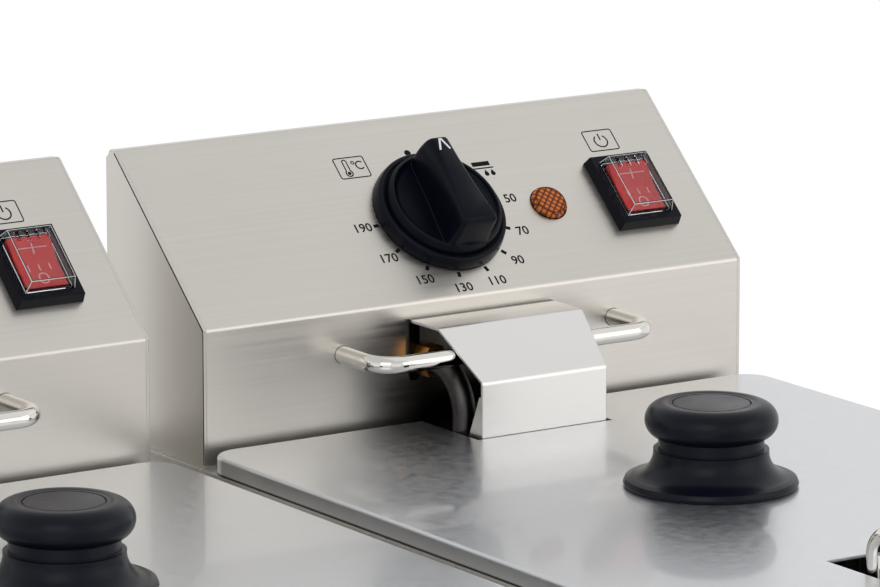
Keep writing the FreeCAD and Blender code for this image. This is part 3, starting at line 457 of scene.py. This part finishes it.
def make_materials():
    """One finish for every material slot, and the inks."""
    low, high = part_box("right_head_sides")
    steel = (0.60, 0.575, 0.535)
    black = (0.0032, 0.0038, 0.006)
    head = brushed_steel("head_steel", steel, 0.34)
    lid = brushed_steel("lid_steel", (0.63, 0.645, 0.67), 0.36, ROUND_GRAIN, 0.02, 0.02)
    cover = brushed_steel("cover_steel", (0.74, 0.73, 0.715), 0.32, FINE_GRAIN, 0.02)
    return {
        "housing_steel": brushed_steel("housing_steel", steel, 0.36),
        "base_steel": brushed_steel("base_steel", (0.5, 0.5, 0.49), 0.4),
        "foot_rubber": moulded("foot_rubber", (0.012, 0.012, 0.013), 0.75),
        "tank_steel": brushed_steel("tank_steel", (0.62, 0.62, 0.61), 0.3, ROUND_GRAIN, 0.03, 0.02),
        "head_steel": painted_shade_round_cover(head, (low.x + high.x) / 2, low.y, low.z),
        "screw_steel": polished("screw_steel", (0.55, 0.55, 0.55), 0.25),
        "bar_chrome": polished("bar_chrome", (0.74, 0.72, 0.68), 0.06),
        "cover_steel": painted_shade_inside(cover, low.y),
        "element_metal": brushed_steel("element_metal", (0.07, 0.065, 0.065), 0.35, ROUND_GRAIN, 0.2),
        "nut_brass": brushed_steel("nut_brass", (0.42, 0.19, 0.035), 0.35, ROUND_GRAIN, 0.2),
        "inner_plastic": moulded("inner_plastic", (0.02, 0.02, 0.02), 0.5),
        "probe_metal": polished("probe_metal", (0.6, 0.6, 0.6), 0.25),
        "lamp_amber": waffle_lens("lamp_amber", (0.66, 0.17, 0.014), (0.12, 0.018, 0.002)),
        "switch_black": moulded("switch_black", (0.0024, 0.0034, 0.008), 0.3, 0.12),
        "cap_clear": clear_plastic("cap_clear"),
        "gland_black": moulded("gland_black", black, 0.5),
        "rocker_red": moulded("rocker_red", (0.62, 0.018, 0.02), 0.3, 0.3, 0.2),
        "dial_black": moulded("dial_black", (0.0028, 0.004, 0.010), 0.3, 0.11),
        "lid_steel": satin_lid_with_edge_shade(lid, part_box("left_lid_sheet")[0].z),
        "knob_black": moulded("knob_black", (0.004, 0.006, 0.013), 0.3, 0.16),
        "basket_wire": polished("basket_wire", (0.66, 0.66, 0.67), 0.18),
        "grip_black": moulded("grip_black", black, 0.5),
        "ink_black": ink("ink_black", (0.005, 0.005, 0.006)),
        "ink_white": ink("ink_white", (0.75, 0.82, 0.84)),
        "ink_amber": ink("ink_amber", (0.09, 0.016, 0.003)),
        "ink_rose": ink("ink_rose", (0.62, 0.30, 0.30)),
    }


def dress_nodes(materials):
    """Give every CAD node the finish of its slot."""
    slots = {entry["node"]: entry["material_slot"] for entry in frame["record"]["subparts"]}
    for name, obj in frame["nodes"].items():
        obj.data.materials.clear()
        obj.data.materials.append(materials[slots[name]])


def add_piece(name, data, material):
    """New object in the scene from a mesh, with its finish."""
    data.materials.append(material)
    piece = bpy.data.objects.new(name, data)
    bpy.context.scene.collection.objects.link(piece)
    return piece


class Marks:
    """Flat printed shapes gathered in one mesh, drawn in panel millimetres."""

    def __init__(self, to_world, lift):
        self.mesh = bmesh.new()
        self.to_world = to_world
        self.lift = lift

    def polygon(self, points):
        """Filled outline."""
        corners = [self.mesh.verts.new(self.to_world(x, v, self.lift)) for x, v in points]
        self.mesh.faces.new(corners)

    def strip(self, inner, outer, closed):
        """Band between two outlines with as many points."""
        a = [self.mesh.verts.new(self.to_world(x, v, self.lift)) for x, v in inner]
        b = [self.mesh.verts.new(self.to_world(x, v, self.lift)) for x, v in outer]
        count = len(a) if closed else len(a) - 1
        for i in range(count):
            j = (i + 1) % len(a)
            self.mesh.faces.new((a[i], b[i], b[j], a[j]))

    def disc(self, x, v, radius, count=24):
        """Filled circle."""
        turns = [2 * math.pi * i / count for i in range(count)]
        self.polygon([(x + radius * math.cos(t), v + radius * math.sin(t)) for t in turns])

    def arc(self, x, v, radius, wide, start, end, count=32):
        """Part of a ring, between two angles in degrees."""
        closed = abs(end - start) >= 360
        steps = count if closed else count + 1
        turns = [math.radians(start + (end - start) * i / count) for i in range(steps)]
        rings = []
        for r in (radius - wide / 2, radius + wide / 2):
            rings.append([(x + r * math.cos(t), v + r * math.sin(t)) for t in turns])
        self.strip(rings[0], rings[1], closed)

    def bar(self, x0, v0, x1, v1, wide):
        """Straight stroke."""
        along = Vector((x1 - x0, v1 - v0)).normalized()
        across = Vector((-along.y, along.x)) * wide / 2
        a, b = Vector((x0, v0)), Vector((x1, v1))
        self.polygon([tuple(a + across), tuple(a - across), tuple(b - across), tuple(b + across)])

    def round_box(self, x0, x1, v0, v1, radius, wide):
        """Outline of a rounded box."""
        rings = []
        for inset in (0, wide):
            ring = []
            r = radius - inset
            for cx, cv, start in ((x1 - radius, v1 - radius, 0), (x0 + radius, v1 - radius, 90),
                                  (x0 + radius, v0 + radius, 180), (x1 - radius, v0 + radius, 270)):
                for step in range(CORNER_STEPS + 1):
                    turn = math.radians(start + 90 * step / CORNER_STEPS)
                    ring.append((cx + r * math.cos(turn), cv + r * math.sin(turn)))
            rings.append(ring)
        self.strip(rings[1], rings[0], True)

    def text(self, words, x, v, size):
        """Upright text centred on a point."""
        curve = bpy.data.curves.new("words", "FONT")
        curve.body = words
        curve.size = size
        curve.align_x = "CENTER"
        curve.align_y = "CENTER"
        curve.resolution_u = 3
        curve.offset = size * TEXT_WEIGHT
        holder = bpy.data.objects.new("words", curve)
        flat = bpy.data.meshes.new_from_object(holder)
        corners = [self.to_world(x + p.co.x, v + p.co.y, self.lift) for p in flat.vertices]
        placed = [self.mesh.verts.new(corner) for corner in corners]
        for face in flat.polygons:
            self.mesh.faces.new([placed[i] for i in face.vertices])
        bpy.data.objects.remove(holder)
        bpy.data.curves.remove(curve)
        bpy.data.meshes.remove(flat)

    def finish(self, name, material, body):
        """Turn the gathered shapes into a piece that rides on a body."""
        data = bpy.data.meshes.new(name)
        self.mesh.normal_update()
        self.mesh.to_mesh(data)
        self.mesh.free()
        piece = add_piece(name, data, material)
        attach(piece, body)


def panel_frame(side):
    """Function from panel x, v and height in millimetres to a place in the frame."""
    low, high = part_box(side + "_head_sides")
    middle = (low.x + high.x) / 2
    foot = Vector((middle, low.y, low.z + FACE_HIGH * MM))
    along = Vector((0, SLOPE_RUN, SLOPE_RISE)).normalized()
    out = Vector((0, -along.z, along.y))

    def to_world(x, v, h):
        return foot + Vector((x * MM, 0, 0)) + along * (v * MM) + out * (h * MM)

    return to_world


def head_marks(side, materials):
    """Dial scale, numbers and the small signs printed on the sloped panel, and a painted shadow ring round
    the lamp's foot.
    """
    marks = Marks(panel_frame(side), PRINT_LIFT)
    marks.disc(DOT_X, DIAL_V + DOT_R, DOT_SIZE)
    for i in range(LABEL_COUNT):
        turn = math.radians(FIRST_ANGLE + STEP_ANGLE * i)
        sx, sv = math.sin(turn), math.cos(turn)
        inner = (sx * TICK_INNER, DIAL_V + sv * TICK_INNER)
        outer = (sx * TICK_OUTER, DIAL_V + sv * TICK_OUTER)
        marks.bar(*inner, *outer, TICK_WIDE)
        marks.text(str(FIRST_LABEL + LABEL_STEP * i), sx * LABEL_R, DIAL_V + sv * LABEL_R, LABEL_SIZE)
    # Painted contact shadow round the foot of the lamp, in the black ink finish.
    marks.arc(LAMP_X, LAMP_V, LAMP_SHADOW_R, LAMP_RING_WIDE, 0, 360)
    melt_sign(marks, *MELT_SIGN)
    thermometer_sign(marks, *THERMOMETER_SIGN)
    power_sign(marks, *POWER_SIGN)
    marks.finish(side + "_head_marks", materials["ink_black"], side + "_head")


def lamp_marks(side, materials):
    """Dark line around the patterned face of the pilot lamp."""
    marks = Marks(panel_frame(side), LAMP_TOP + PRINT_LIFT)
    marks.arc(LAMP_X, LAMP_V, LAMP_RING_R, LAMP_RING_WIDE, 0, 360)
    marks.finish(side + "_lamp_marks", materials["ink_amber"], side + "_head")


def dial_marks(side, materials):
    """White arrow on the top of the dial's nose."""
    marks = Marks(panel_frame(side), DIAL_TOP + PRINT_LIFT)
    for way in (-1, 1):
        tip = (way * ARROW_TIP_HALF, DIAL_V + ARROW_TIP)
        foot = (way * ARROW_HALF, DIAL_V + ARROW_FOOT)
        marks.bar(*tip, *foot, ARROW_WIDE)
    marks.finish(side + "_dial_marks", materials["ink_white"], side + "_dial")


def rounded(corners, count=4):
    """Points along an outline with rounded corners, each given with the length cut off its sides."""
    points = []
    for i, (x, y, cut) in enumerate(corners):
        here = Vector((x, y))
        if cut == 0:
            points.append(here)
            continue
        start = here + (Vector(corners[i - 1][:2]) - here).normalized() * cut
        end = here + (Vector(corners[(i + 1) % len(corners)][:2]) - here).normalized() * cut
        for step in range(count + 1):
            t = step / count
            points.append(start * (1 - t) ** 2 + here * 2 * t * (1 - t) + end * t ** 2)
    return points


def grip_outline(rise):
    """Plan of the dial's grip, from its foot at rise 0 to its top at rise 1."""
    soft = GRIP_SOFT * rise ** SOFT_CURVE
    tail = GRIP_TAIL + GRIP_FLARE * (1 - rise) ** FLARE_CURVE - soft
    nose = GRIP_NOSE_TOP + (GRIP_NOSE - GRIP_NOSE_TOP) * (1 - rise ** NOSE_CURVE) ** NOSE_ROUND
    reach = GRIP_REACH + GRIP_LEAN * (1 - rise) - soft
    waist = (tail + nose) / 2 - GRIP_WAIST
    corner = GRIP_FOOT_CORNER + (GRIP_CORNER - GRIP_FOOT_CORNER) * rise
    return rounded(((nose, reach, corner), (-nose, reach, corner), (-waist, 0, GRIP_WAIST_ROUND),
                    (-tail, -reach, corner), (tail, -reach, corner), (waist, 0, GRIP_WAIST_ROUND)))


def dial_look(side, materials):
    """Dial with a dished top, rounded rims and a flared grip, in place of the plainer solid."""
    place = panel_frame(side)
    shape = bmesh.new()
    rings = []
    turns = [2 * math.pi * i / DIAL_TURNS for i in range(DIAL_TURNS)]
    for r, h in rounded(DIAL_OUTLINE):
        rings.append([shape.verts.new(place(r * math.sin(t), DIAL_V + r * math.cos(t), h)) for t in turns])
    shape.faces.new(rings[0])
    levels = []
    for i in range(GRIP_LEVELS):
        rise = 1 - (1 - i / (GRIP_LEVELS - 1)) ** 2
        h = GRIP_FOOT + (DIAL_TOP - GRIP_FOOT) * rise
        levels.append([shape.verts.new(place(x, DIAL_V + v, h)) for x, v in grip_outline(rise)])
    shape.faces.new(levels[-1])
    for stack in (rings, levels):
        for a, b in zip(stack, stack[1:]):
            for i in range(len(a)):
                j = (i + 1) % len(a)
                shape.faces.new((a[i], a[j], b[j], b[i]))
    bmesh.ops.recalc_face_normals(shape, faces=shape.faces)
    data = bpy.data.meshes.new(side + "_dial_look")
    shape.to_mesh(data)
    shape.free()
    data.shade_smooth()
    data.set_sharp_from_angle(angle=DIAL_SHARP)
    piece = add_piece(side + "_dial_look", data, materials["dial_black"])
    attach(piece, side + "_dial")
    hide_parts(side + "_dial_knob")


def rocker_marks(side, materials):
    """Dash and cross line on the upper half of the rocker, ring and ribs on the lower."""
    place = panel_frame(side)
    for half, lean in (("upper", 2 * ROCKER_TILT), ("lower", 0.0)):
        cos, sin = math.cos(math.radians(lean)), math.sin(math.radians(lean))

        def on_half(x, v, h):
            up = SWITCH_V + ROCKER_CREST_V + v * cos - h * sin
            return place(SWITCH_X + x, up, ROCKER_CREST_H + v * sin + h * cos)

        marks = Marks(on_half, PRINT_LIFT)
        if half == "upper":
            marks.bar(0, DASH_LOW, 0, DASH_HIGH, DASH_WIDE)
            marks.bar(-CROSS_HALF, CROSS_V, CROSS_HALF, CROSS_V, CROSS_WIDE)
        else:
            marks.arc(0, RING_V, RING_R, RING_WIDE, 0, 360)
            for x in RIB_PLACES:
                marks.bar(x, RIB_TOP, x, RIB_FOOT, RIB_WIDE)
        name = side + "_rocker_" + half + "_marks"
        marks.finish(name, materials["ink_rose"], side + "_rocker")


def melt_sign(marks, x, v):
    """Block of fat over a line, with drops below."""
    block_half, block_foot, block_top = 3.6, v + 1.2, v + 3.0
    marks.polygon([(x - block_half, block_foot), (x + block_half, block_foot),
                   (x + block_half, block_top), (x - block_half, block_top)])
    line_half, line_v = 4.4, v + 0.2
    marks.bar(x - line_half, line_v, x + line_half, line_v, SIGN_STROKE)
    drop_v, drop_r, neck_v, neck_half, tip_v = v - 2.4, 0.9, v - 1.9, 0.7, v - 0.5
    for drop_x in (x + 0.6, x + 3.2):
        marks.disc(drop_x, drop_v, drop_r, SMALL_ROUND)
        marks.polygon([(drop_x - neck_half, neck_v), (drop_x + neck_half, neck_v), (drop_x, tip_v)])


def thermometer_sign(marks, x0, x1, v0, v1):
    """Boxed thermometer, a degree ring and a C."""
    marks.round_box(x0, x1, v0, v1, SIGN_CORNER, SIGN_LINE)
    stem_x, stem_half, stem_foot, stem_top = x0 + 4.2, 0.8, v0 + 3.3, v1 - 1.9
    bulb_v, bulb_r, filling_r, bulb_line = v0 + 2.3, 1.3, 0.7, 0.45
    marks.arc(stem_x, bulb_v, bulb_r, bulb_line, -235, 55)
    marks.disc(stem_x, bulb_v, filling_r, SMALL_ROUND)
    for edge_x in (stem_x - stem_half, stem_x + stem_half):
        marks.bar(edge_x, stem_foot, edge_x, stem_top, SIGN_LINE)
    marks.arc(stem_x, stem_top, stem_half, SIGN_LINE, 0, 180, SMALL_ROUND)
    ring_x, ring_v, ring_r, ring_line = x0 + 7.3, v1 - 2.6, 0.6, 0.35
    marks.arc(ring_x, ring_v, ring_r, ring_line, 0, 360, 14)
    letter_x, letter_v, letter_r = x0 + 9.8, v1 - 3.9, 1.6
    marks.arc(letter_x, letter_v, letter_r, SIGN_STROKE, 45, 315, 20)


def power_sign(marks, x0, x1, v0, v1):
    """Boxed power symbol."""
    marks.round_box(x0, x1, v0, v1, SIGN_CORNER, SIGN_LINE)
    x, v = (x0 + x1) / 2, (v0 + v1) / 2 - 0.3
    ring_r, bar_foot, bar_top = 2.6, v + 0.4, v + 3.3
    marks.arc(x, v, ring_r, SIGN_STROKE, 125, 415)
    marks.bar(x, bar_foot, x, bar_top, SIGN_STROKE)


def even_places(start, end, pitch):
    """Even places between two ends, a little nearer than the pitch, ends left out."""
    count = int((end - start) / pitch)
    step = (end - start) / (count + 1)
    return [start + step * (i + 1) for i in range(count)]


def wire_piece(name, paths, radius, material):
    """Thin round wires along straight runs, as one mesh."""
    curve = bpy.data.curves.new(name, "CURVE")
    curve.dimensions = "3D"
    curve.bevel_depth = radius
    curve.bevel_resolution = 1
    for path in paths:
        spline = curve.splines.new("POLY")
        spline.points.add(len(path) - 1)
        for point, place in zip(spline.points, path):
            point.co = place + (1.0,)
    holder = bpy.data.objects.new(name, curve)
    data = bpy.data.meshes.new_from_object(holder)
    bpy.data.objects.remove(holder)
    bpy.data.curves.remove(curve)
    data.materials.clear()
    return add_piece(name, data, material)


def basket_wires(side, materials):
    """Wire basket in place of the plain holed walls: two sets of bent wires and level hoops."""
    low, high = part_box(side + "_basket_mesh")
    inset, lean, pitch = WIRE_R * MM, BASKET_LEAN * MM, WIRE_PITCH * MM
    x0, x1, y0, y1 = low.x + inset, high.x - inset, low.y + inset, high.y - inset
    z0, z1 = low.z + inset, high.z
    paths = []
    for y in even_places(y0 + lean, y1 - lean, pitch):
        paths.append([(x0, y, z1), (x0 + lean, y, z0), (x1 - lean, y, z0), (x1, y, z1)])
    for x in even_places(x0 + lean, x1 - lean, pitch):
        paths.append([(x, y0, z1), (x, y0 + lean, z0), (x, y1 - lean, z0), (x, y1, z1)])
    for z in even_places(z0, z1, pitch):
        d = lean * (z1 - z) / (z1 - z0)
        loop = [(x0 + d, y0 + d, z), (x1 - d, y0 + d, z), (x1 - d, y1 - d, z), (x0 + d, y1 - d, z)]
        paths.append(loop + loop[:1])
    piece = wire_piece(side + "_basket_wires", paths, WIRE_R * MM, materials["basket_wire"])
    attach(piece, side + "_basket")
    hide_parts(side + "_basket_mesh")


def cap_edge_highlights(side, materials):
    """Painted highlights: bright lines where the polished edges of the clear switch cap catch the light."""
    place = panel_frame(side)
    corners = []
    for wide, long, h in ((CAP_FOOT_W, CAP_FOOT_L, CAP_FOOT), (CAP_TOP_W, CAP_TOP_L, CAP_TOP)):
        corners.append([tuple(place(SWITCH_X + sx * wide / 2, SWITCH_V + sv * long / 2, h))
                        for sx, sv in ((-1, -1), (1, -1), (1, 1), (-1, 1))])
    foot, top = corners
    paths = [top + top[:1]] + [list(pair) for pair in zip(foot, top)]
    # The white ink finish here is a painted highlight.
    piece = wire_piece(side + "_cap_edge_highlights", paths, CAP_HIGHLIGHT_R * MM, materials["ink_white"])
    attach(piece, side + "_head")


def seam_shadow_lines(side, materials):
    """Dark wires as painted shadow in the joints on the sides of a head, just behind its folded front sheet.
    """
    low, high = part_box(side + "_head_sides")
    place = panel_frame(side)
    top = math.hypot(SLOPE_RUN, SLOPE_RISE) - SEAM_SHORT
    paths = []
    for x in ((low.x - high.x) / 2 / MM, (high.x - low.x) / 2 / MM):
        bend = place(x, 0, -SEAM_IN)
        foot = (bend.x, bend.y, low.z + SEAM_SHORT * MM)
        paths.append([foot, tuple(bend), tuple(place(x, top, -SEAM_IN))])
    piece = wire_piece(side + "_seam_shadows", paths, SEAM_R * MM, materials["ink_black"])
    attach(piece, side + "_head")


def build_stage():
    """Pale floor that fades into a white surround."""
    data = bpy.data.meshes.new("floor")
    corners = [(x * FLOOR_HALF, y * FLOOR_HALF, 0) for x, y in ((-1, -1), (1, -1), (1, 1), (-1, 1))]
    data.from_pydata(corners, [], [(0, 1, 2, 3)])
    material, tree, shader = node_tree("pale_floor")
    shader.inputs["Base Color"].default_value = (0.86, 0.86, 0.86, 1)
    shader.inputs["Roughness"].default_value = 0.6
    shader.inputs["Specular IOR Level"].default_value = 0.2
    output = [n for n in tree.nodes if n.type == "OUTPUT_MATERIAL"][0]
    clear = tree.nodes.new("ShaderNodeBsdfTransparent")
    coords = tree.nodes.new("ShaderNodeTexCoord")
    length = tree.nodes.new("ShaderNodeVectorMath")
    length.operation = "LENGTH"
    mix = tree.nodes.new("ShaderNodeMixShader")
    tree.links.new(coords.outputs["Object"], length.inputs[0])
    gone = fade(tree, length.outputs["Value"], FLOOR_FADE_START, FLOOR_FADE_END)
    tree.links.new(gone, mix.inputs["Fac"])
    tree.links.new(shader.outputs["BSDF"], mix.inputs[1])
    tree.links.new(clear.outputs["BSDF"], mix.inputs[2])
    tree.links.new(mix.outputs["Shader"], output.inputs["Surface"])
    floor = add_piece("floor", data, material)


def build_world():
    """White to the camera and in reflections, a little greyer overhead; soft grey light otherwise."""
    world = bpy.data.worlds.new("studio")
    bpy.context.scene.world = world
    world.use_nodes = True
    tree = world.node_tree
    tree.nodes.clear()
    output = tree.nodes.new("ShaderNodeOutputWorld")
    coords = tree.nodes.new("ShaderNodeTexCoord")
    split = tree.nodes.new("ShaderNodeSeparateXYZ")
    height = tree.nodes.new("ShaderNodeMath")
    height.operation = "MULTIPLY_ADD"
    height.inputs[1].default_value = 0.5
    height.inputs[2].default_value = 0.5
    tree.links.new(coords.outputs["Generated"], split.inputs["Vector"])
    tree.links.new(split.outputs["Z"], height.inputs[0])
    backgrounds = []
    for greys in (WORLD_LIGHT, WORLD_SEEN):
        node = tree.nodes.new("ShaderNodeBackground")
        tree.links.new(ramp(tree, height.outputs["Value"], *greys), node.inputs["Color"])
        backgrounds.append(node)
    path = tree.nodes.new("ShaderNodeLightPath")
    seen = path.outputs["Is Camera Ray"]
    for other in ("Is Glossy Ray", "Is Transmission Ray"):
        either = tree.nodes.new("ShaderNodeMath")
        either.operation = "MAXIMUM"
        tree.links.new(seen, either.inputs[0])
        tree.links.new(path.outputs[other], either.inputs[1])
        seen = either.outputs["Value"]
    mix = tree.nodes.new("ShaderNodeMixShader")
    tree.links.new(seen, mix.inputs["Fac"])
    tree.links.new(backgrounds[0].outputs["Background"], mix.inputs[1])
    tree.links.new(backgrounds[1].outputs["Background"], mix.inputs[2])
    tree.links.new(mix.outputs["Shader"], output.inputs["Surface"])


def soft_light(name, place, size, power, colour):
    """Large square softbox aimed at the object."""
    data = bpy.data.lights.new(name, "AREA")
    data.size = size
    data.energy = power
    data.color = colour
    light = bpy.data.objects.new(name, data)
    light.location = place
    light.rotation_euler = (Vector(LIGHT_AIM) - Vector(place)).to_track_quat("-Z", "Y").to_euler()
    bpy.context.scene.collection.objects.link(light)


def build_lights():
    """Overhead softbox, a key from the front left and a fill from the right."""
    for box in SOFTBOXES:
        soft_light(*box)


def build_camera():
    """Long-lens camera at the photograph's angle."""
    data = bpy.data.cameras.new("camera")
    data.sensor_width = 36.0
    data.lens = CAMERA_LENS
    data.clip_end = 50.0
    camera = bpy.data.objects.new("camera", data)
    camera.location = CAMERA_PLACE
    camera.rotation_euler = (math.pi / 2 - CAMERA_PITCH, 0, -CAMERA_YAW)
    bpy.context.scene.collection.objects.link(camera)
    bpy.context.scene.camera = camera


materials = make_materials()
dress_nodes(materials)
for side in SIDES:
    head_marks(side, materials)
    lamp_marks(side, materials)
    dial_look(side, materials)
    dial_marks(side, materials)
    rocker_marks(side, materials)
    basket_wires(side, materials)
    cap_edge_highlights(side, materials)
    seam_shadow_lines(side, materials)
build_stage()
build_world()
build_lights()
build_camera()
bpy.context.scene.view_settings.view_transform = "Standard"
